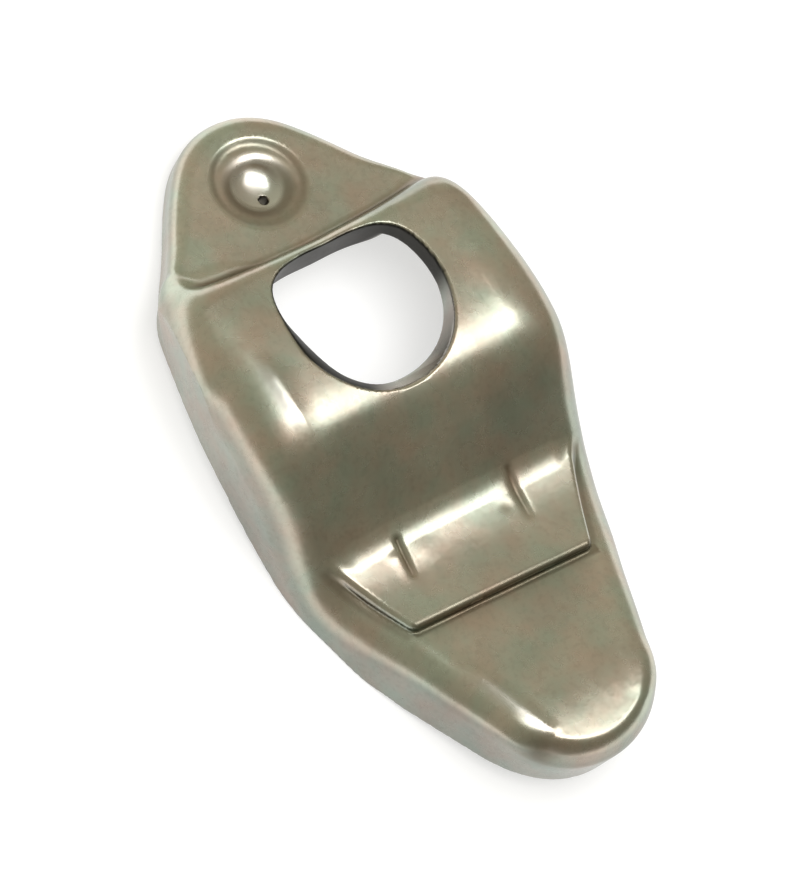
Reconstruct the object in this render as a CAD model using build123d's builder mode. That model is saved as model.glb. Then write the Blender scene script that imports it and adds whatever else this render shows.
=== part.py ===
from build123d import *
import math
import os

# Stamped sheet-steel rocker arm, one piece.
# Frame: millimetres, +Z up. The arm lies on its open rim, so the closed
# underside (cup, fulcrum bulge, valve pad) looks up. +X points to the nose
# (valve end), the plane Y = 0 is the plane of symmetry and Z = 0 is the plane
# that the rim rests on. X = 0 is the middle of the fulcrum opening.

# ---------------------------------------------------------------- dimensions
sheet = 2.8              # thickness of the sheet
bulge_z = 14.5           # underside at the middle of the opening, over the rest plane
wall_ref = 11.0          # height at which bend_half is measured
loft_lo, loft_hi = -2.0, 19.0

# half outline (y > 0) of the body at wall_ref and at the rest plane. Behind
# the step the lines only run on straight, and the step cuts them off.
bend_half = [(-26, 16.6), (-18, 17.7), (-12, 18.7), (-6, 19.6), (0, 20.3), (6, 20.5),
             (12, 20.3), (18, 19.6), (24, 18.3), (28, 16.6), (32, 15.0), (36, 13.6),
             (40, 12.5), (44, 11.2), (48, 9.7), (51, 7.7), (53.2, 4.8), (54.3, 0)]
rim_half = [(-26, 14.7), (-18, 16.1), (-12, 17.3), (-6, 18.5), (0, 19.5), (6, 19.9),
            (12, 19.9), (18, 19.6), (24, 18.9), (28, 17.8), (32, 16.6), (36, 15.0),
            (40, 13.2), (44, 11.3), (48, 9.1), (50.6, 7.0), (52.6, 4.4), (53.6, 0)]

# top line of the body, side view (x, drop under bulge_z)
top_line = [(-26, 4.6), (-20, 3.6), (-12, 2.2), (-6, 1.1), (0, 0.1), (4, -0.35), (7, -0.45),
            (9, -0.25), (11, 0.35), (13, 1.4), (15, 2.8), (17, 4.3), (19, 5.8), (21, 7.1),
            (23, 8.1), (25, 8.5), (28, 8.2), (31, 7.3), (34, 6.3), (38, 5.2), (42, 4.05),
            (45, 3.25), (47, 2.85), (49, 2.6), (51, 2.43), (53, 2.38), (56, 2.45)]
bend_r = 3.6             # outside radius of the long side bend

# step between the pushrod flange and the bulge
step_draft = 10.0        # lean of the step wall
# step line in plan at bulge_z, nearly straight, rounded off at the shoulders
step_line = [(-9.3, 0), (-9.5, 7), (-9.9, 12.5), (-10.1, 15.2), (-9.5, 17.6), (-7.7, 19.6),
             (-4.4, 21.2), (1.0, 22.8)]
step_edge_r = 1.0

# pushrod flange; its lines run on into the body
flange_z = 6.3           # flange top at the cup
flange_tilt = 9.0        # the flange rises towards the step
flange_half = [(-27.6, 0), (-27.1, 3.0), (-25.6, 5.7), (-22.8, 8.4), (-19.5, 10.8),
               (-16.0, 13.3), (-12.0, 16.0)]
flange_end = (-2.0, 16.6)
flange_edge_r = 2.0

# pushrod cup and its oil hole
cup_x = -19.0
cup_r = 4.1              # seat for a 5/16 in (7.94 mm) pushrod ball
cup_rise = 2.2           # centre of the seat over the flange top
cup_wall = 2.4
cup_lip = 0.7
ring_r, ring_depth = 5.1, 0.3   # shallow coined ring round the seat
oil_r = 0.5
oil_dx, oil_dy = 1.65, 0.1

# fulcrum opening: rounded four-sided hole, half outline
opening_half = [(-8.8, 0), (-8.7, 4.5), (-7.2, 8.0), (-3.3, 9.6), (1, 9.4), (5, 7.7),
                (8, 4.5), (9.2, 0)]
opening_lean = 3.0       # the sheared wall closes inwards by this angle

# crown: raised field between the valley and the valve pad
crown_x0, crown_x1 = 20.0, 32.6
crown_w0, crown_w1 = 16.6, 11.2
crown_line = [(18.0, 7.5), (20.0, 7.47), (22.0, 7.42), (24.0, 7.32), (26.0, 7.12), (28.0, 6.76),
              (30.0, 6.25), (32.0, 5.66), (34.0, 5.05)]
notch_y = 7.7             # two short lengthwise press marks split the field in three
notch_x0, notch_len = 22.0, 5.6
notch_depth, notch_w = 0.5, 0.9

# rim line, side view: height of the sheared edge over the rest plane
rim_line = [(-24, 0), (-18, 1.2), (-10, 2.0), (0, 2.4), (8, 2.2), (14, 1.0), (20, 0)]
rim_nose = [(33, 0), (38, 0.6), (46, 2.6), (52, 3.6), (60, 4.0)]


# ------------------------------------------------------------------ helpers
def at_height(z, d=0.0):
    """Half outline of the body walls at height z, moved inwards by d."""
    k = z / wall_ref
    pts = [(r[0] + (b[0] - r[0]) * k, r[1] + (b[1] - r[1]) * k)
           for b, r in zip(bend_half, rim_half)]
    return inset(pts, d) if d else pts


def inset(pts, d):
    """Half outline moved inwards by d, square to its chords; the last point
    is on the plane of symmetry and moves along it."""
    out = []
    n = len(pts)
    for i, (x, y) in enumerate(pts):
        if i == n - 1:
            out.append((x - d, 0.0))
            continue
        ax, ay = pts[max(i - 1, 0)]
        bx, by = pts[i + 1]
        tx, ty = bx - ax, by - ay
        m = math.hypot(tx, ty)
        out.append((x + ty / m * d, y - tx / m * d))
    return out


def step_at(z, d=0.0):
    """Half plan line of the step wall at height z, moved towards the nose by d."""
    lean = (z - bulge_z) * math.tan(math.radians(step_draft))
    out = []
    for i, (x, y) in enumerate(step_line):
        k = min(1.0, max(0.0, (i - 2) / 3))       # at the shoulders d turns inwards
        out.append((x + lean + d * (1 - 0.7 * k), y - 0.7 * d * k))
    return out


def drop(pts, d):
    """Side-view line moved down square to itself by d."""
    out = []
    n = len(pts)
    for i, (x, z) in enumerate(pts):
        a = pts[max(i - 1, 0)]
        b = pts[min(i + 1, n - 1)]
        tx, tz = b[0] - a[0], b[1] - a[1]
        m = math.hypot(tx, tz)
        out.append((x + tz / m * d, z - tx / m * d))
    return out


os.makedirs("parts", exist_ok=True)
top_pts = [(x, bulge_z - d) for x, d in top_line]


# -------------------------------------------------------- body, outer form
with BuildPart() as body_outer:
    for z in (loft_lo, loft_hi):
        with BuildSketch(Plane.XY.offset(z)):
            with BuildLine():
                pts = at_height(z)
                Spline(*pts, tangents=[(1, 0.12), (0, -1)])
                Line((pts[0][0], 0), pts[0])
                mirror(about=Plane.XZ)
            make_face()
    loft(ruled=True)
    with BuildSketch(Plane.XZ):
        with BuildLine():
            Spline(*top_pts)
            Polyline(top_pts[-1], (top_pts[-1][0], loft_lo), (top_pts[0][0], loft_lo), top_pts[0])
        make_face()
    extrude(amount=40, both=True, mode=Mode.INTERSECT)
    fillet(body_outer.edges().filter_by(
        lambda e: e.length > 60 and e.center().Z > 4 and abs(e.center().Y) > 5), bend_r)
    # the step: everything behind the step line is cut off, wall leaning 10 deg
    for z in (loft_hi + 1, loft_lo - 1):
        with BuildSketch(Plane.XY.offset(z)):
            with BuildLine():
                line = step_at(z)
                Spline(*line, tangents=[(0, 1), (0.6, 1)])
                Polyline(line[-1], (line[-1][0], 30), (-45, 30), (-45, 0))
                mirror(about=Plane.XZ)
            make_face()
    loft(ruled=True, mode=Mode.SUBTRACT)
    fillet(body_outer.edges().filter_by(
        lambda e: e.center().Z > flange_z + 4 and e.center().X < -7 and 6 < e.length < 20
        and e.bounding_box().size.Z < 6),
        step_edge_r)

# -------------------------------------------------------- body, inner form
with BuildPart() as body_inner:
    for z in (loft_lo, loft_hi):
        with BuildSketch(Plane.XY.offset(z)):
            with BuildLine():
                pts = at_height(z, sheet)
                Spline(*pts, tangents=[(1, 0.12), (0, -1)])
                Line((pts[0][0], 0), pts[0])
                mirror(about=Plane.XZ)
            make_face()
    loft(ruled=True)
    low_pts = drop(top_pts, sheet)
    with BuildSketch(Plane.XZ):
        with BuildLine():
            Spline(*low_pts)
            Polyline(low_pts[-1], (low_pts[-1][0], loft_lo), (low_pts[0][0], loft_lo), low_pts[0])
        make_face()
    extrude(amount=40, both=True, mode=Mode.INTERSECT)
    fillet(body_inner.edges().filter_by(
        lambda e: e.length > 60 and e.center().Z > 2 and abs(e.center().Y) > 5), bend_r - sheet)
    for z in (loft_hi + 1, loft_lo - 1):
        with BuildSketch(Plane.XY.offset(z)):
            with BuildLine():
                line = step_at(z, sheet)
                Spline(*line, tangents=[(0, 1), (0.6, 1)])
                Polyline(line[-1], (line[-1][0], 30), (-45, 30), (-45, 0))
                mirror(about=Plane.XZ)
            make_face()
    loft(ruled=True, mode=Mode.SUBTRACT)

# ------------------------------------------------------------ flange forms
def flange_top(x, d=0.0):
    """Height of the flange top at x, moved d into the sheet."""
    t = math.radians(flange_tilt)
    return flange_z + (x - cup_x) * math.tan(t) - d / math.cos(t)


with BuildPart() as flange_outer:
    with BuildSketch(Plane.XY.offset(loft_lo)):
        with BuildLine():
            Spline(*flange_half, tangents=[(0, 1), (0.83, 0.56)])
            Polyline(flange_half[-1], flange_end, (flange_end[0], 0))
            mirror(about=Plane.XZ)
        make_face()
    extrude(amount=14)
    with BuildSketch(Plane.XZ):
        with BuildLine():
            Polyline((-35, flange_top(-35)), (5, flange_top(5)), (5, -5), (-35, -5), close=True)
        make_face()
    extrude(amount=30, both=True, mode=Mode.INTERSECT)
    fillet(flange_outer.edges().filter_by(
        lambda e: e.center().Z > 4 and e.center().X < -13 and e.length > 10), flange_edge_r)

with BuildPart() as flange_inner:
    inner_half = [(flange_half[0][0] + sheet, 0)]
    for i in range(1, len(flange_half)):
        a = flange_half[i - 1]
        b = flange_half[min(i + 1, len(flange_half) - 1)]
        m = math.hypot(b[0] - a[0], b[1] - a[1])
        inner_half.append((flange_half[i][0] + (b[1] - a[1]) / m * sheet,
                           flange_half[i][1] - (b[0] - a[0]) / m * sheet))
    with BuildSketch(Plane.XY.offset(loft_lo)):
        with BuildLine():
            Spline(*inner_half, tangents=[(0, 1), (0.83, 0.56)])
            Polyline(inner_half[-1], (flange_end[0], flange_end[1] - sheet), (flange_end[0], 0))
            mirror(about=Plane.XZ)
        make_face()
    extrude(amount=14)
    with BuildSketch(Plane.XZ):
        with BuildLine():
            Polyline((-35, flange_top(-35, sheet)), (5, flange_top(5, sheet)), (5, -5), (-35, -5),
                     close=True)
        make_face()
    extrude(amount=30, both=True, mode=Mode.INTERSECT)

# ------------------------------------------------------------------- crown
# raised field, level beside the valley and stepping down to the pad
with BuildPart() as crown:
    crown_pts = [(x, bulge_z - d) for x, d in crown_line]
    with BuildSketch(Plane.XZ):
        with BuildLine():
            Spline(*crown_pts)
            Polyline(crown_pts[-1], (crown_pts[-1][0], 4.4), (crown_pts[0][0], 4.4), crown_pts[0])
        make_face()
    extrude(amount=20, both=True)
    with BuildSketch(Plane.XY):
        with BuildLine():
            Polyline((crown_x0, -crown_w0), (crown_x1, -crown_w1), (crown_x1, crown_w1),
                     (crown_x0, crown_w0), close=True)
        make_face()
    extrude(amount=20, mode=Mode.INTERSECT)
    # press marks: shallow V grooves that follow the field's slope
    slope = (crown_line[2][1] - crown_line[5][1]) / (crown_line[5][0] - crown_line[2][0])
    for side in (-1, 1):
        start = Plane(origin=(notch_x0, side * notch_y, bulge_z - crown_line[2][1]),
                      x_dir=(0, 1, 0), z_dir=(1, 0, slope))
        with BuildSketch(start):
            with BuildLine():
                Polyline((-notch_w / 2 - 0.45, 0.5), (0, -notch_depth), (notch_w / 2 + 0.45, 0.5),
                         close=True)
            make_face()
        extrude(amount=notch_len, mode=Mode.SUBTRACT)

# ---------------------------------------------------------------- the arm
with BuildPart() as rocker_arm:
    add(body_outer.part)
    add(flange_outer.part)
    add(body_inner.part, mode=Mode.SUBTRACT)
    add(flange_inner.part, mode=Mode.SUBTRACT)

    # cup: dome under the flange, spherical seat with a rolled lip, oil hole
    with BuildSketch(Plane.XZ):
        with Locations((cup_x, flange_z + cup_rise)):
            Circle(cup_r + cup_wall)
        with Locations((cup_x - 10, 10)):
            Rectangle(20, 40, mode=Mode.SUBTRACT)
        with Locations((cup_x, flange_z - 1.7 + 10)):
            Rectangle(30, 20, mode=Mode.SUBTRACT)
    revolve(axis=Axis((cup_x, 0, 0), (0, 0, 1)))
    t = math.radians(flange_tilt)
    ring = Plane(origin=(cup_x, 0, flange_top(cup_x, ring_depth)), x_dir=(0, 1, 0),
                 z_dir=(-math.sin(t), 0, math.cos(t)))
    with BuildSketch(ring):
        Circle(ring_r)
    extrude(amount=2, mode=Mode.SUBTRACT)
    with BuildSketch(Plane.XZ):
        with Locations((cup_x, flange_z + cup_rise)):
            Circle(cup_r)
        with Locations((cup_x - 10, 10)):
            Rectangle(20, 40, mode=Mode.SUBTRACT)
    revolve(axis=Axis((cup_x, 0, 0), (0, 0, 1)), mode=Mode.SUBTRACT)
    fillet(rocker_arm.edges().filter_by(GeomType.CIRCLE).filter_by(
        lambda e: abs(e.arc_center.Z - flange_z + ring_depth) < 0.4 and 2.8 < e.radius < 3.8), cup_lip)
    with BuildSketch(Plane.XY.offset(-1)):
        with Locations((cup_x + oil_dx, oil_dy)):
            Circle(oil_r)
    extrude(amount=8, mode=Mode.SUBTRACT)

    add(crown.part)

    # fulcrum opening, wall leaning inwards
    with BuildSketch(Plane.XY.offset(bulge_z)):
        with BuildLine():
            Spline(*opening_half, tangents=[(0, 1), (0, -1)])
            mirror(about=Plane.XZ)
        make_face()
    extrude(amount=-14, taper=opening_lean, mode=Mode.SUBTRACT)
    with BuildSketch(Plane.XY.offset(bulge_z)):
        with BuildLine():
            Spline(*opening_half, tangents=[(0, 1), (0, -1)])
            mirror(about=Plane.XZ)
        make_face()
    extrude(amount=4, mode=Mode.SUBTRACT)

    # rim: the sheared edge, arched between its two resting lengths
    with BuildSketch(Plane.XZ):
        with BuildLine():
            Polyline((-40, 0), rim_line[0])
            Spline(*rim_line, tangents=[(1, 0), (1, -0.05)])
            Line(rim_line[-1], rim_nose[0])
            Spline(*rim_nose, tangents=[(1, 0.02), (1, 0.1)])
            Polyline(rim_nose[-1], (70, 4), (70, -6), (-40, -6), (-40, 0))
        make_face()
    extrude(amount=40, both=True, mode=Mode.SUBTRACT)

rocker_arm.part.label = "rocker_arm"
export_step(rocker_arm.part, "parts/rocker_arm.step")
print("size", rocker_arm.part.bounding_box())
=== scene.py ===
"""Looks of a stamped sheet-steel rocker arm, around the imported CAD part. Metres; the shape itself is worked out in millimetres."""
import math

import bpy
import numpy as np
from mathutils import Matrix, Vector


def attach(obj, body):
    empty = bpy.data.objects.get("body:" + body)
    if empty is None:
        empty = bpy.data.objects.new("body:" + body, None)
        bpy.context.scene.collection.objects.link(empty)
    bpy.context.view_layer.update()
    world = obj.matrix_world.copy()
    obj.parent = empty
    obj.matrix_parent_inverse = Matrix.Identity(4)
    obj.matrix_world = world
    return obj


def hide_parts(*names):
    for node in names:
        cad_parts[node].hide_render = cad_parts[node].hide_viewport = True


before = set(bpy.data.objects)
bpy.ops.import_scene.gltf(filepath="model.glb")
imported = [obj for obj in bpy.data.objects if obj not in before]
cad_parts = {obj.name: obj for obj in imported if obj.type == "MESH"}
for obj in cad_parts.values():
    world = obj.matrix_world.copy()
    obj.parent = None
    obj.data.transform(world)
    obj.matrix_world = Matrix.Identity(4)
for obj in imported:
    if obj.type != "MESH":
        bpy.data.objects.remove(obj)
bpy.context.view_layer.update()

# ------------------------------------------------------------------ shape (mm)
# X to the nose, Y across, Z up; z = 0 is the plane of the rim, x = 0 the middle of the fulcrum opening.
SHEET = 2.8
B = 14.5
WALL_REF = 11.0
BEND = [(-26, 16.6), (-18, 17.7), (-12, 18.7), (-6, 19.6), (0, 20.3), (6, 20.5), (12, 20.3), (18, 19.6),
        (24, 18.3), (28, 16.6), (32, 15.0), (36, 13.6), (40, 12.5), (44, 11.2), (47.9, 9.7), (50.75, 7.7), (52.85, 4.8), (53.95, 0)]
RIM = [(-26, 14.2), (-18, 15.6), (-12, 16.8), (-6, 18.0), (0, 19.1), (6, 19.8), (12, 19.9), (18, 19.6),
       (24, 18.9), (28, 17.8), (32, 16.6), (36, 15.0), (40, 13.2), (44, 11.3), (47.9, 9.1), (50.25, 7.0), (52.1, 4.4), (53.05, 0)]
TOP = [(-26, 4.6), (-20, 3.6), (-12, 2.2), (-6, 1.1), (0, 0.1), (4, -0.35), (7, -0.45), (9, -0.25), (11, 0.35),
       (13, 1.4), (15, 2.8), (17, 4.3), (19, 5.8), (21, 7.1), (23, 8.1), (25, 8.5), (28, 8.2), (31, 7.3), (34, 6.3),
       (38, 5.2), (42, 4.05), (45, 3.25), (47, 2.85), (49, 2.6), (51, 2.43), (53, 2.38), (56, 2.45)]
STEP = [(-9.3, 0), (-9.5, 7), (-9.9, 12.5), (-10.1, 15.2), (-9.5, 17.6), (-7.7, 19.6), (-4.4, 21.2), (1.0, 22.8)]
STEP_DRAFT = math.tan(math.radians(10))
FLANGE = [(-27.75, 0), (-27.25, 3.05), (-25.75, 5.85), (-22.9, 8.6), (-19.6, 11.0), (-16.0, 13.5), (-12.4, 16.1), (-8.8, 17.7)]
FLANGE_END = (-2.0, 18.9)
FLANGE_Z = 6.3
FLANGE_RISE = math.tan(math.radians(9))
CUP_X, CUP_Z, CUP_R, CUP_LIP = -19.0, 8.5, 4.1, 1.1
RING_R, RING_DEPTH = 5.1, 0.3
OIL = (CUP_X + 1.65, 0.1, 0.5)
OPENING = [(-8.8, 0), (-8.7, 4.5), (-7.2, 8.0), (-3.3, 9.6), (1, 9.4), (5, 7.7), (8, 4.5), (9.2, 0)]
RIM_Z = [(-40, 0), (-24, 0), (-18, 1.2), (-10, 2.0), (0, 2.4), (8, 2.2), (14, 1.0), (20, 0), (33, 0), (38, 0.6), (46, 2.6), (52, 3.6), (60, 4.0)]
CROWN = [(18, 7.5), (20, 7.47), (22, 7.42), (24, 7.32), (26, 7.12), (28, 6.76), (30, 6.25), (32, 5.66), (34, 5.05)]
CROWN_X0, CROWN_X1, CROWN_W0, CROWN_W1 = 20.0, 32.35, 16.8, 11.3


def spline(points, per=24, closed=False):
    """C2 cubic through the points, by chord length."""
    p = np.array(points, float)
    wrap = 4
    if closed:
        p = np.vstack([p[-wrap:], p, p[:wrap + 1]])
    h = np.maximum(np.linalg.norm(np.diff(p, axis=0), axis=1), 1e-6)
    n = len(p)
    a = np.zeros((n, n))
    r = np.zeros((n, 2))
    a[0, 0] = a[-1, -1] = 1
    for i in range(1, n - 1):
        a[i, i - 1], a[i, i], a[i, i + 1] = h[i - 1], 2 * (h[i - 1] + h[i]), h[i]
        r[i] = 6 * ((p[i + 1] - p[i]) / h[i] - (p[i] - p[i - 1]) / h[i - 1])
    m = np.linalg.solve(a, r)
    out = []
    lo, hi = (wrap, n - wrap - 1) if closed else (0, n - 1)
    for i in range(lo, hi):
        t = np.linspace(0, 1, per, endpoint=False)[:, None]
        u, v = 1 - t, t
        out.append(u * p[i] + v * p[i + 1] + h[i] ** 2 / 6 * ((u ** 3 - u) * m[i] + (v ** 3 - v) * m[i + 1]))
    if not closed:
        out.append(p[-1][None])
    return np.vstack(out)


def line_dist(px, py, poly, closed):
    """Distance to a line of points: signed by inside (-) when closed, else positive on its left."""
    a = poly
    b = np.roll(poly, -1, axis=0)
    if not closed:
        a, b = a[:-1], b[:-1]
    best = np.full(px.shape, 1e9)
    sign = np.ones(px.shape)
    inside = np.zeros(px.shape, bool)
    for (ax, ay), (bx, by) in zip(a, b):
        dx, dy = bx - ax, by - ay
        l2 = dx * dx + dy * dy
        if l2 < 1e-12:
            continue
        t = np.clip(((px - ax) * dx + (py - ay) * dy) / l2, 0, 1)
        d = (px - ax - t * dx) ** 2 + (py - ay - t * dy) ** 2
        m = d < best - 1e-12
        if closed:
            inside ^= ((ay > py) != (by > py)) & (px < (bx - ax) * (py - ay) / ((by - ay) if abs(by - ay) > 1e-12 else 1e-12) + ax)
        else:
            sign = np.where(m, np.where(dx * (py - ay) - dy * (px - ax) > 0, 1.0, -1.0), sign)
        best = np.where(m, d, best)
    best = np.sqrt(best)
    return np.where(inside, -best, best) if closed else best * sign


class Field:
    """A 2-D field kept on a grid and read back smoothly (cubic B-spline, so its slope is smooth too)."""

    def __init__(self, fn, x0, x1, y0, y1, h=0.3):
        self.x0, self.y0, self.h = x0, y0, h
        x, y = np.meshgrid(np.arange(x0, x1 + h, h), np.arange(y0, y1 + h, h), indexing="ij")
        v = fn(x, y)
        self.c = v
        for _ in range(4):        # coefficients whose B-spline passes close to the values
            self.c = self.c + (v - self._blur(self.c))
        self.n = v.shape

    @staticmethod
    def _blur(c):
        p = np.pad(c, 1, mode="edge")
        p[0], p[-1] = 2 * p[1] - p[2], 2 * p[-2] - p[-3]
        p[:, 0], p[:, -1] = 2 * p[:, 1] - p[:, 2], 2 * p[:, -2] - p[:, -3]
        q = (p[:-2] + 4 * p[1:-1] + p[2:]) / 6
        return (q[:, :-2] + 4 * q[:, 1:-1] + q[:, 2:]) / 6

    def __call__(self, x, y):
        fx = np.clip((x - self.x0) / self.h, 1, self.n[0] - 3.001)
        fy = np.clip((y - self.y0) / self.h, 1, self.n[1] - 3.001)
        i, j = fx.astype(np.int32), fy.astype(np.int32)
        u, w = fx - i, fy - j

        def weights(t):
            return ((1 - t) ** 3 / 6, (3 * t ** 3 - 6 * t ** 2 + 4) / 6, (-3 * t ** 3 + 3 * t ** 2 + 3 * t + 1) / 6, t ** 3 / 6)

        wu, ww = weights(u), weights(w)
        out = 0
        flat = self.c.ravel()
        for a in range(4):
            row = 0
            base = (i + a - 1) * self.n[1] + j - 1
            for b in range(4):
                row = row + flat[base + b] * ww[b]
            out = out + wu[a] * row
        return out


def smax(a, b, r):
    """Intersection of two fields, with the edge rounded to radius r."""
    return np.minimum(-r, np.maximum(a, b)) + np.hypot(np.maximum(a + r, 0), np.maximum(b + r, 0))


def smin(a, b, r):
    return -smax(-a, -b, r)


def ramp(v, a, b):
    t = np.clip((v - a) / (b - a), 0, 1)
    return t * t * (3 - 2 * t)


def mirrored(half):
    h = np.array(half, float)
    return np.vstack([h, h[::-1][1:] * [1, -1]])


EDGE = (-45, 60, -30, 30)
bend_line = spline(mirrored(BEND), 16)
rim_line = spline(mirrored(RIM), 16)
flange_line = spline(mirrored(FLANGE[::-1]), 16)
flange_line = np.vstack([[FLANGE_END[0], FLANGE_END[1]], flange_line, [FLANGE_END[0], -FLANGE_END[1]]])
top_line = spline([(x, B - d) for x, d in TOP], 16)
step_line = np.vstack([[STEP[0][0], -30], spline(STEP, 16), [20, 30]])
hole_line = spline(mirrored(OPENING)[:-1], 12, closed=True)
f_bend = Field(lambda x, y: line_dist(x, y, bend_line, True), *EDGE, h=0.4)
f_rim = Field(lambda x, y: line_dist(x, y, rim_line, True), *EDGE, h=0.4)
f_flange = Field(lambda x, y: line_dist(x, y, flange_line, True), -45, 10, -30, 30, h=0.4)
f_top = Field(lambda x, z: line_dist(x, z, np.vstack([[-60, top_line[0, 1]], top_line, [80, top_line[-1, 1]], [80, -40], [-60, -40]]), True),
              -45, 60, -12, 30, h=0.3)
f_step = Field(lambda x, y: line_dist(x, y, step_line, False), -45, 40, -2, 30, h=0.3)
crown_line = spline(CROWN, 12)
f_hole = Field(lambda x, y: line_dist(x, y, hole_line, True), -25, 30, -20, 20, h=0.3)


def waves(x, y, z, seeds, low, high):
    """Smooth unevenness of the pressing: a few fixed sine waves."""
    rng = np.random.default_rng(seeds)
    out = 0
    for _ in range(9):
        k = rng.normal(size=3)
        k *= 2 * math.pi / rng.uniform(low, high) / np.linalg.norm(k)
        out = out + np.sin(k[0] * x + k[1] * y + k[2] * z + rng.uniform(0, 6.28))
    return out / 9


def bell(v, mid, wide):
    return np.exp(-((v - mid) / wide) ** 2)


def window(v, a, b, soft):
    return ramp(v, a - soft, a + soft) * (1 - ramp(v, b - soft, b + soft))


def shoulder(x, y):
    """How far the top falls away towards its side bends, and the faint bead along the start of the bends."""
    ay = np.abs(y)
    start = np.interp(x, [-12, 0, 8, 15, 21, 26, 32, 38, 44, 54], [14.4, 13.8, 13.9, 14.2, 13.8, 12.6, 11.0, 10.0, 8.2, 3.0])
    k = np.interp(x, [-12, -2, 8, 14, 21, 26, 32, 38], [0.045, 0.055, 0.055, 0.045, 0.05, 0.045, 0.02, 0.0])
    fall = k * np.maximum(ay - start, 0) ** 2
    left = np.where(y < 0, 1.0, 0.25)
    over = ay - (start - 0.3)
    crest = np.where(over < 0, np.clip(1 + over / 2.4, 0, 1) ** 1.9, np.exp(-(over / 1.1) ** 2))
    bead = 0.17 * crest * window(x, 0.5, 8.2, 1.8) * left
    over = ay - np.interp(x, [38, 48.5], [9.1, 5.5])
    crest = np.where(over < 0, np.clip(1 + over / 1.6, 0, 1) ** 1.9, np.exp(-(over / 1.0) ** 2))
    bead = bead + np.interp(x, [36, 40, 48.4, 49.2], [0.0, 0.3, 0.12, 0.0]) * crest * left
    return fall * np.where(y > 0, 0.7, 1.0) - bead


def outer(x, y, z):
    """The outside of the pressing as a solid lump: body, pushrod step and flange."""
    ay = np.abs(y)
    t = np.clip(z / WALL_REF, -0.3, 1.5)
    side = f_bend(x, y) * t + f_rim(x, y) * (1 - t) + 1.3 * ramp(x, 45.5, 51) * ramp(z, 8.8, 12.0)
    top = f_top(x, z + shoulder(x, y))
    r = np.interp(x, [-20, 0, 8, 15, 22, 30, 44, 47, 50, 56], [3.2, 3.4, 3.5, 3.6, 3.5, 3.5, 3.3, 2.7, 1.6, 1.3])
    lean = (z - B) * STEP_DRAFT
    step = f_step(x - lean, ay) * math.cos(math.radians(10))
    body = smax(smax(top, side, r), step, np.interp(ay, [0, 9, 16, 22], [1.3, 1.4, 2.4, 3.0]))
    flat = ((z - FLANGE_Z) - (x - CUP_X) * FLANGE_RISE) / math.hypot(1, FLANGE_RISE)
    edge = f_flange(x, y) + 0.07 * (FLANGE_Z - z)
    flange = smax(flat, edge, 2.2 - 1.2 * ramp(x, -18, -12))
    crease = 0.5 + (0.2 + 1.5 * ramp(y, -5, -10) + 0.8 * ramp(y, 12.5, 16)) * ramp(z, 5.0, 7.0) + 2.6 * ramp(y, -12.5, -16) * ramp(z, 3.4, 6.0)
    return np.maximum(smin(body, flange, crease), np.minimum(side, edge)), flat


# two pressed marks in the crown, and metal thrown up beside the left one: start, end, size, width
CROWN_MARKS = (((22.3, -7.7), (26.4, -8.2), 0.45, 0.4), ((20.8, 7.6), (26.3, 7.15), 0.42, 0.5))
CROWN_BURRS = (((24.0, -8.9), (27.2, -9.2), 0.12, 0.8), ((24.6, -5.9), (26.4, -5.4), 0.07, 1.7))


def along(x, y, ax, ay, bx, by):
    """How far along a short line a point lies (0..1), and its distance from it."""
    t = np.clip(((x - ax) * (bx - ax) + (y - ay) * (by - ay)) / ((bx - ax) ** 2 + (by - ay) ** 2), 0, 1)
    return t, np.hypot(x - ax - t * (bx - ax), y - ay - t * (by - ay))


def crown_field(x, y, z):
    """The raised crown across the valley, with its two pressed notches."""
    zc = B - np.interp(x, crown_line[:, 0], crown_line[:, 1])
    zc = zc + 0.12 * (1 - np.clip(np.abs(y) / 7.4, 0, 1) ** 2)
    for (ax, ay), (bx, by), depth, wide in CROWN_MARKS:
        t, d = along(x, y, ax, ay, bx, by)
        zc = zc - depth * bell(d, 0, wide) * (1 - 0.5 * t)
    for (ax, ay), (bx, by), high, wide in CROWN_BURRS:
        t, d = along(x, y, ax, ay, bx, by)
        zc = zc + high * bell(d, 0, wide) * (1 - t)
    for (ax, ay), high, wide in (((24.4, 5.3), -0.07, 0.7), ((22.8, 5.6), 0.05, 1.3), ((28.5, 1.0), -0.04, 2.2), ((29.5, -6.0), 0.035, 1.8)):
        zc = zc + high * bell(np.hypot(x - ax, y - ay), 0, wide)
    zc = zc - 0.012 * np.maximum(-y - 8.5, 0) ** 1.5
    x1 = CROWN_X1 + 0.027 * y
    end = np.maximum(CROWN_X0 - x, x - x1)
    half = CROWN_W0 + (x - CROWN_X0) / (CROWN_X1 - CROWN_X0) * (CROWN_W1 - CROWN_W0) + 0.04 * (x - CROWN_X0) * (y < 0)
    slab = smax(smax(end, np.abs(y) - half, 0.7), z - zc, 0.85)
    return np.maximum(slab, zc - z - 2.0)


def hole_field(x, y, z):
    """Positive inside the fulcrum opening; on the nose and left sides its wall leans in."""
    deep = np.minimum(z - B, 0)
    nose = np.clip(x / 8, 0, 1)
    left = np.clip(-(y + 1.0) / 8, 0, 1) * ramp(x, -9, 3) * (1 - ramp(x, 6.5, 12))
    return (z - B) * math.tan(math.radians(3)) - f_hole(x - 0.62 * deep * nose, y + 1.08 * deep * left)


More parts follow.
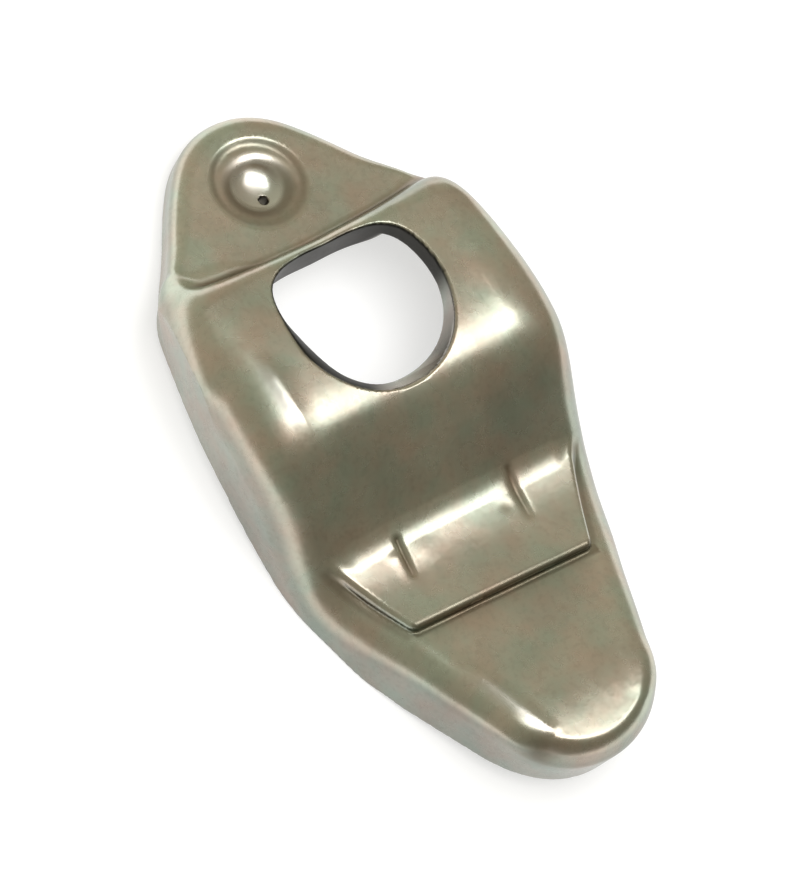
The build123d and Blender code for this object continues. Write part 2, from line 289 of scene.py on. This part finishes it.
def arm(p):
    x, y, z = p[..., 0], p[..., 1], p[..., 2]
    out, flat = outer(x, y, z)
    out = out + 0.03 * waves(x, y, z, 3, 6.0, 12.0)
    out = out + 0.22 * bell(np.sqrt((x - 50.3) ** 2 + (y + 6.6) ** 2 + (z - 10.6) ** 2), 0, 1.7)
    shell = smax(out, -(out + SHEET), 0.3)
    ball = np.sqrt((x - CUP_X) ** 2 + y ** 2 + (z - CUP_Z) ** 2)
    shell = smin(shell, np.maximum(ball - (CUP_R + 2.4), flat + 1.2), 1.0)
    ring = np.hypot(x - CUP_X, y) - RING_R
    shell = smax(shell, -smax(ring, -(flat + RING_DEPTH), 0.6), 0.7)
    seat = smax(ball - CUP_R, CUP_Z - CUP_R + 0.28 - z, 0.5)
    shell = smax(shell, -seat, CUP_LIP)
    shell = smax(shell, OIL[2] - np.hypot(x - OIL[0], y - OIL[1]), 0.1)
    shell = smin(shell, crown_field(x, y, z), 1.0 - 0.6 * ramp(x, 22, 27) - 0.4 * ramp(np.abs(y), 13, 15))
    shell = smax(shell, hole_field(x, y, z), 0.4)
    return smax(shell, np.interp(x, [c[0] for c in RIM_Z], [c[1] for c in RIM_Z]) - z, 0.3)


def slope(p, f=arm, e=0.03):
    g = np.empty(p.shape)
    for k in range(3):
        d = np.zeros(3)
        d[k] = e
        g[:, k] = (f(p + d) - f(p - d)) / (2 * e)
    return g


def skin(f, xs, ys, zs):
    """Closed quad mesh of f = 0: one vertex per cell that the surface crosses, one quad per crossed grid edge."""
    rough = [np.unique(np.append(np.arange(0, len(a), 3), len(a) - 1)) for a in (xs, ys, zs)]
    c = f(np.stack(np.meshgrid(xs[rough[0]], ys[rough[1]], zs[rough[2]], indexing="ij"), -1))
    near = [np.searchsorted(r, np.arange(len(a)), side="right") - 1 for r, a in zip(rough, (xs, ys, zs))]
    v = c[np.ix_(*near)]                      # far from the surface the coarse value is enough
    reach = 2.2 * 3 * max(np.diff(a).max() for a in (xs, ys, zs))
    for i, x in enumerate(xs):
        at = np.argwhere(np.abs(v[i]) < reach)
        if len(at):
            v[i][tuple(at.T)] = f(np.stack([np.full(len(at), x), ys[at[:, 0]], zs[at[:, 1]]], -1))
    s = v < 0
    n = [len(xs) - 1, len(ys) - 1, len(zs) - 1]
    count = np.zeros(n, np.int8)
    for i in (0, 1):
        for j in (0, 1):
            for k in (0, 1):
                count += s[i:n[0] + i, j:n[1] + j, k:n[2] + k]
    mixed = (count > 0) & (count < 8)
    number = np.full(n, -1, np.int64)
    number[mixed] = np.arange(mixed.sum())
    total = np.zeros((mixed.sum(), 3))
    hits = np.zeros(mixed.sum())
    axes = (xs, ys, zs)
    quads = []
    for a in range(3):
        lo = [slice(None)] * 3
        hi = [slice(None)] * 3
        lo[a], hi[a] = slice(0, -1), slice(1, None)
        va, vb = v[tuple(lo)], v[tuple(hi)]
        idx = np.argwhere((va < 0) != (vb < 0))
        fa, fb = va[tuple(idx.T)], vb[tuple(idx.T)]
        pos = np.stack([axes[c][idx[:, c]] for c in range(3)], -1)
        step = axes[a][idx[:, a] + 1] - axes[a][idx[:, a]]
        pos[:, a] += fa / (fa - fb) * step
        b, c = (a + 1) % 3, (a + 2) % 3
        around = []
        for db, dc in ((-1, -1), (0, -1), (0, 0), (-1, 0)):
            cell = idx.copy()
            cell[:, b] += db
            cell[:, c] += dc
            q = number[tuple(cell.T)]
            around.append(q)
            for m in range(3):
                total[:, m] += np.bincount(q, pos[:, m], len(total))
            hits += np.bincount(q, minlength=len(hits))
        around = np.stack(around, -1)
        flip = fa < 0
        quads.append(np.where(flip[:, None], around, around[:, ::-1]))
    return total / hits[:, None], np.vstack(quads)


def spaced(parts):
    """Grid lines from (start, end, step) runs."""
    out = [parts[0][0]]
    for a, b, h in parts:
        n = max(1, round((b - a) / h))
        out += list(np.linspace(a, b, n + 1)[1:])
    return np.array(out)


COARSE = 1.0
xs = spaced([(-28.6, -18.5, 0.3 * COARSE), (-18.5, -16.2, 0.16 * COARSE), (-16.2, 11, 0.3 * COARSE), (11, 20, 0.38 * COARSE), (20, 34, 0.25 * COARSE), (34, 55, 0.36 * COARSE)])
ys = spaced([(-21.2, -10, 0.3 * COARSE), (-10, -5.5, 0.22 * COARSE), (-5.5, -0.6, 0.3 * COARSE), (-0.6, 0.9, 0.16 * COARSE), (0.9, 6, 0.3 * COARSE),
              (6, 9, 0.22 * COARSE), (9, 21.2, 0.3 * COARSE)])
zs = spaced([(-0.7, 4, 0.5 * COARSE), (4, 15.8, 0.28 * COARSE)])
verts, quads = skin(arm, xs, ys, zs)
for _ in range(3):
    d = arm(verts)
    g = slope(verts)
    verts -= np.clip(d / np.maximum((g ** 2).sum(1), 0.25), -0.15, 0.15)[:, None] * g

mesh = bpy.data.meshes.new("rocker_arm_skin")
mesh.vertices.add(len(verts))
mesh.vertices.foreach_set("co", (verts * 0.001).astype(np.float32).ravel())
mesh.loops.add(len(quads) * 4)
mesh.loops.foreach_set("vertex_index", quads.astype(np.int32).ravel())
mesh.polygons.add(len(quads))
mesh.polygons.foreach_set("loop_start", np.arange(0, len(quads) * 4, 4, dtype=np.int32))
mesh.update(calc_edges=True)
mesh.validate()
skin_obj = bpy.data.objects.new("rocker_arm_skin", mesh)
bpy.context.scene.collection.objects.link(skin_obj)
TRIANGLES = 185000
if 2 * len(quads) > TRIANGLES:      # fewer triangles where the surface is nearly flat
    thin = skin_obj.modifiers.new("thin", "DECIMATE")
    thin.ratio = TRIANGLES / (2 * len(quads))
    bpy.context.view_layer.update()
    slim = bpy.data.meshes.new_from_object(skin_obj.evaluated_get(bpy.context.evaluated_depsgraph_get()))
    skin_obj.modifiers.clear()
    skin_obj.data = slim
    mesh = slim
    mesh.name = "rocker_arm_skin"
co = np.zeros(len(mesh.vertices) * 3, np.float32)
mesh.vertices.foreach_get("co", co)
verts = co.reshape(-1, 3).astype(float) * 1000
g = slope(verts)
d = arm(verts)
verts -= np.clip(d / np.maximum((g ** 2).sum(1), 0.25), -0.05, 0.05)[:, None] * g
mesh.vertices.foreach_set("co", (verts * 0.001).astype(np.float32).ravel())
normals = slope(verts)
normals /= np.linalg.norm(normals, axis=1)[:, None]
mesh.polygons.foreach_set("use_smooth", np.ones(len(mesh.polygons), bool))
mesh.update()
mesh.normals_split_custom_set_from_vertices(normals.astype(np.float32))
print("skin", len(mesh.vertices), "vertices", sum(len(p.vertices) - 2 for p in mesh.polygons), "triangles")

# where the colour is changed, kept on the mesh: red = painted shade on the sheared edge of the opening, green =
# polished seat (also lightened as a painted highlight), a slightly lighter crown top and painted highlight streaks,
# blue = painted shade in corners, creases, grooves, dents, the cup's rings and the oil hole, alpha = painted shade on
# the side walls
px, py, pz = verts.T
# painted shade, near black, on the sheared wall of the fulcrum opening
opening_shade = ramp(-np.abs(hole_field(px, py, pz)), -0.22, -0.08) * (pz > 4)
opening_nose_side = opening_shade * ramp(px + 0.55 * py, 4.5, 8.0)      # the nose side of the opening is left out of the painted shade and made a little lighter
opening_shade = opening_shade * (1 - 0.96 * ramp(px + 0.55 * py, 4.5, 8.0))
ring = np.hypot(px - CUP_X, py)
round_cup = np.arctan2(py, px - CUP_X)
far = bell(np.abs(np.arctan2(np.sin(round_cup - 2.6), np.cos(round_cup - 2.6))), 0, 1.0)      # the side of the cup away from the body
seat = ramp(-ring, -4.1, -3.6) * (pz < 8)
oil = ramp(-np.hypot(px - OIL[0], py - OIL[1]), -(OIL[2] + 0.18), -(OIL[2] + 0.02)) * (pz < 6)
crown_top = window(px, 21.9, 32.0, 0.5) * (np.abs(py) < 15.5) * (normals[:, 2] > 0.8)
on_top = (normals[:, 2] > 0.3) & (pz > 4)
lean = (pz - B) * STEP_DRAFT
to_step = f_step(px - lean, np.abs(py))
# painted shade along the foot of the pushrod step, on the flange
painted_shade = bell(to_step, 0.15, 0.55) * on_top * (pz < 10.5) * (px < -7) * (0.45 + 0.55 * ramp(py, -4, -9)) * (1 - 0.9 * ramp(py, -13, -16))
# painted shade along the crown's ledge, dimming its bright upper edge, and fading down the pad below it
past = px - CROWN_X1 - 0.027 * py
ledge = window(past, -0.85, 0.8, 0.2) * (np.abs(py) < 11.9) * np.where(past < -0.3, 0.62, 0.8)
ledge = np.maximum(ledge, np.where(past > 0.3, 0.42 * np.exp(-np.maximum(past - 0.6, 0) / 1.7), 0) * (1 - ramp(np.abs(py), 9.0, 12.0)))
half = CROWN_W0 + (px - CROWN_X0) / (CROWN_X1 - CROWN_X0) * (CROWN_W1 - CROWN_W0) + 0.04 * (px - CROWN_X0) * (py < 0)
# painted shade along the crown's side edges
edge = window(np.abs(py) - half, 0.0, 1.1, 0.3) * window(px, 21.6, 32.5, 0.5) * np.where(py < 0, 0.5, 0.55)
painted_shade = np.maximum(painted_shade, np.maximum(ledge, edge) * on_top)
# painted shade in the crown's two pressed notches
for (ax, ay), (bx, by), depth, wide in CROWN_MARKS:
    t, dist = along(px, py, ax, ay, bx, by)
    painted_shade = np.maximum(painted_shade, bell(dist, 0, 0.8 * wide) * on_top * min(1, 2 * depth) * (1 - 0.6 * t ** 3))
# painted shade in the small dimple on the crown
painted_shade = np.maximum(painted_shade, 0.6 * bell(np.hypot(px - 24.4, py - 5.3), 0, 0.55) * on_top)
# painted shade in the dent by the nose
painted_shade = np.maximum(painted_shade, 0.7 * bell(np.sqrt((px - 49.9) ** 2 + (py + 7.5) ** 2 + (pz - 10.6) ** 2), 0, 1.7))
# painted shade in the cup's rings, darkest on the side away from the body
painted_shade = np.maximum(painted_shade, (0.5 * window(ring, 4.1, 5.3, 0.35) * (1 - 0.4 * far) + 0.85 * window(ring, 2.9, 4.0, 0.35) * (1 - far) + 0.95 * far * window(ring, 2.1, 2.8, 0.25)) * on_top * (pz < 8) * (px < -10))
# painted shade in the oil hole
painted_shade = np.maximum(painted_shade, oil)
# painted shade on the steep side walls, reaching further up them on the +Y side and round the nose, and stronger
# towards the nose
far_side = np.maximum(ramp(py, 2, 8) * (1 - 0.5 * ramp(px, 42, 46)), 0.45 * ramp(px, 45, 49))
wall_shade = (1 - ramp(normals[:, 2], 0.25 + 0.25 * far_side, 0.6 + 0.33 * far_side)) * (0.75 + 0.25 * ramp(px, -4, 16))
finish_and_painted_light = mesh.attributes.new("finish_and_painted_light", "FLOAT_COLOR", "POINT")
# painted highlight streaks along the bead at the pad's left edge and along the start of the left bend beside the
# opening
painted_highlight = window(px, 40.5, 48.5, 2.0) * bell(-py, np.interp(px, [38, 48.5], [9.1, 5.5]) + 0.6, 0.7) * on_top
painted_highlight = np.maximum(painted_highlight, window(px, 0.5, 7.5, 1.5) * bell(-py, 14.5, 0.9) * on_top)
finish_and_painted_light.data.foreach_set("color", np.stack([opening_shade, np.maximum(np.maximum(0.8 * seat, 0.1 * crown_top), np.maximum(painted_highlight, 0.3 * opening_nose_side)), painted_shade, wall_shade], -1).astype(np.float32).ravel())


def steel():
    m = bpy.data.materials.new("worn_steel_and_painted_light")
    m.use_nodes = True
    nt = m.node_tree
    nt.nodes.clear()
    link = nt.links.new

    def new(kind, **kw):
        return _set(nt.nodes.new(kind), kw)

    def noise(scale, detail, rough=0.5, offset=0.0):
        n = new("ShaderNodeTexNoise")
        n.inputs["Scale"].default_value = scale
        n.inputs["Detail"].default_value = detail
        n.inputs["Roughness"].default_value = rough
        shift = new("ShaderNodeMapping")
        shift.inputs["Location"].default_value = (offset, offset * 0.7, -offset)
        link(place.outputs["Object"], shift.inputs["Vector"])
        link(shift.outputs["Vector"], n.inputs["Vector"])
        return n.outputs["Fac"]

    def graded(fac, stops):
        n = new("ShaderNodeValToRGB")
        e = n.color_ramp.elements
        e[0].position, e[0].color = stops[0][0], (*stops[0][1], 1)
        e[1].position, e[1].color = stops[-1][0], (*stops[-1][1], 1)
        for at, c in stops[1:-1]:
            k = n.color_ramp.elements.new(at)
            k.color = (*c, 1)
        link(fac, n.inputs["Fac"])
        return n.outputs["Color"]

    def mix(kind, fac, a, b):
        n = new("ShaderNodeMix", data_type="RGBA", blend_type=kind)
        for socket, value in ((n.inputs["Factor"], fac), (n.inputs["A"], a), (n.inputs["B"], b)):
            if isinstance(value, (int, float)):
                socket.default_value = value
            elif isinstance(value, tuple):
                socket.default_value = (*value, 1)
            else:
                link(value, socket)
        return n.outputs["Result"]

    def math_(op, a, b=None, c=None, clamp=False):
        n = new("ShaderNodeMath", operation=op, use_clamp=clamp)
        for i, value in enumerate((a, b, c)):
            if value is None:
                continue
            if isinstance(value, (int, float)):
                n.inputs[i].default_value = value
            else:
                link(value, n.inputs[i])
        return n.outputs[0]

    out = new("ShaderNodeOutputMaterial")
    b = new("ShaderNodeBsdfPrincipled")
    b.inputs["Metallic"].default_value = 1.0
    link(b.outputs[0], out.inputs[0])
    place = new("ShaderNodeTexCoord")
    finish_and_painted_light = new("ShaderNodeAttribute", attribute_name="finish_and_painted_light")
    split = new("ShaderNodeSeparateColor")
    link(finish_and_painted_light.outputs["Color"], split.inputs[0])
    opening_shade, polish_and_highlight, painted_shade, wall = split.outputs[0], split.outputs[1], split.outputs[2], finish_and_painted_light.outputs["Alpha"]

    # the film on the steel goes from brown to olive over a few millimetres, with small flecks
    film = graded(noise(210, 3, 0.5), [(0.32, (0.655, 0.55, 0.455)), (0.5, (0.61, 0.578, 0.482)), (0.66, (0.56, 0.60, 0.50))])
    clouds = graded(noise(90, 4, 0.55, 3.1), [(0.3, (0.84, 0.84, 0.83)), (0.7, (1.09, 1.09, 1.08))])
    colour = mix("MULTIPLY", 1.0, film, clouds)
    flecks = graded(noise(1500, 3, 0.6, 7.7), [(0.36, (0.84, 0.83, 0.82)), (0.5, (1.0, 1.0, 1.0))])
    colour = mix("MULTIPLY", 0.45, colour, flecks)
    # lighter colour: the polished seat, also lightened as a painted highlight, a slightly lighter crown top, the
    # painted highlight streaks and the nose side of the opening
    colour = mix("MIX", math_("MULTIPLY", polish_and_highlight, 0.6), colour, (0.8, 0.79, 0.76))
    # painted shade on the side walls
    colour = mix("MULTIPLY", math_("MULTIPLY", wall, 0.9), colour, (0.43, 0.455, 0.485))
    # painted shade, near black, on the wall of the opening
    colour = mix("MIX", math_("MULTIPLY", opening_shade, 0.97), colour, (0.026, 0.024, 0.021))
    # brown painted shade in corners, creases, grooves, dents, the cup and the oil hole
    colour = mix("MULTIPLY", math_("MULTIPLY", painted_shade, 0.9), colour, (0.30, 0.24, 0.17))
    link(colour, b.inputs["Base Color"])
    # gloss
    rough = math_("MULTIPLY_ADD", noise(300, 3, 0.5, 1.3), 0.12, 0.21)
    rough = math_("ADD", rough, math_("MULTIPLY", painted_shade, 0.2))
    rough = math_("ADD", rough, math_("MULTIPLY", opening_shade, 0.2))
    rough = math_("SUBTRACT", rough, math_("MULTIPLY", polish_and_highlight, 0.06))
    link(math_("MAXIMUM", rough, 0.18), b.inputs["Roughness"])
    # the faint ripple of worn pressed sheet, and fine grain
    bump = new("ShaderNodeBump")
    bump.inputs["Strength"].default_value = 0.35
    bump.inputs["Distance"].default_value = 0.0001
    ripple = math_("ADD", math_("MULTIPLY", noise(260, 2, 0.5, 5.5), 1.0), math_("MULTIPLY", noise(1300, 2, 0.5, 9.2), 0.12))
    link(ripple, bump.inputs["Height"])
    link(bump.outputs["Normal"], b.inputs["Normal"])
    return m


def _set(node, kw):
    for k, v in kw.items():
        setattr(node, k, v)
    return node


skin_obj.data.materials.append(steel())
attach(skin_obj, "root")
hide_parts("rocker_arm")

# ------------------------------------------------------------------ floor, light, camera
bpy.ops.mesh.primitive_plane_add(size=6, location=(0, 0, 0))
floor = bpy.context.object
floor.name = "floor"
fm = bpy.data.materials.new("pale_floor")
fm.use_nodes = True
fb = fm.node_tree.nodes["Principled BSDF"]
fb.inputs["Base Color"].default_value = (0.5, 0.5, 0.5, 1)
fb.inputs["Emission Color"].default_value = (1, 1, 1, 1)
fb.inputs["Emission Strength"].default_value = 0.57
fb.inputs["Roughness"].default_value = 1.0
fb.inputs["Specular IOR Level"].default_value = 0.0
floor.data.materials.append(fm)

world = bpy.data.worlds.new("studio")
bpy.context.scene.world = world
world.use_nodes = True
wn = world.node_tree
background = wn.nodes["Background"]
background.inputs["Color"].default_value = (1.0, 0.955, 0.76, 1)
where = wn.nodes.new("ShaderNodeTexCoord")
parts = wn.nodes.new("ShaderNodeSeparateXYZ")
fade = wn.nodes.new("ShaderNodeMapRange")      # a room a little brighter on the pushrod side
fade.inputs["From Min"].default_value = -1
fade.inputs["From Max"].default_value = 1
fade.inputs["To Min"].default_value = 0.49
fade.inputs["To Max"].default_value = 0.19
wn.links.new(where.outputs["Generated"], parts.inputs[0])
wn.links.new(parts.outputs["X"], fade.inputs["Value"])
wn.links.new(fade.outputs["Result"], background.inputs["Strength"])


def softbox(name, direction, dist, w, h, power, spin=0.0, glossy=True):
    d = Vector(direction).normalized()
    light = bpy.data.lights.new(name, "AREA")
    light.shape = "RECTANGLE"
    light.size, light.size_y = w, h
    light.energy = power
    o = bpy.data.objects.new(name, light)
    x = Vector((1, 0, 0)) - d * d.x
    x.normalize()
    y = d.cross(x)
    c, t = math.cos(math.radians(spin)), math.sin(math.radians(spin))
    ax, ay = x * c + y * t, y * c - x * t
    o.matrix_world = Matrix.Translation(d * dist + Vector((0.012, 0, 0.008))) @ Matrix((ax, ay, d)).transposed().to_4x4()
    o.visible_glossy = glossy
    bpy.context.scene.collection.objects.link(o)
    return o


softbox("key", (-0.07, 0.27, 0.95), 0.6, 0.21, 0.36, 0.78, spin=-30)
softbox("table_light", (0.1, -0.1, 1.0), 1.4, 1.2, 1.2, 18.0, glossy=False)

bpy.context.scene.view_settings.view_transform = "Standard"

roll, alpha, beta = math.radians(-26.6), math.radians(9), math.radians(25.5)
v = Vector((math.tan(alpha), -math.tan(beta), 1)).normalized()
yp = (Vector((0, 1, 0)) - v * v.y).normalized()
q = -(v.cross(yp)) * -1
if (yp.cross(q) + v).length > 1e-6:
    q = -q
right = yp * math.cos(roll) - q * math.sin(roll)
down = yp * math.sin(roll) + q * math.cos(roll)
PX = 9.4
anchor = Vector((0, 0, 14.5))
mid = anchor + right * ((395.5 - 371.5) / PX) + down * ((440 - 308.5) / PX)
mid = mid - v * ((mid.z - 8.0) / v.z)       # along the view, to mid height of the part
dist = 1.1
cam = bpy.data.cameras.new("camera")
cam.sensor_fit = "HORIZONTAL"
cam.sensor_width = 36
cam.lens = 36 * dist / (791 / PX * 0.001)
cam.clip_start = 0.05
cam.clip_end = 10
eye = bpy.data.objects.new("camera", cam)
rot = Matrix((right, -down, v)).transposed()
eye.matrix_world = Matrix.Translation((mid * 0.001) + v * dist) @ rot.to_4x4()
bpy.context.scene.collection.objects.link(eye)
bpy.context.scene.camera = eye
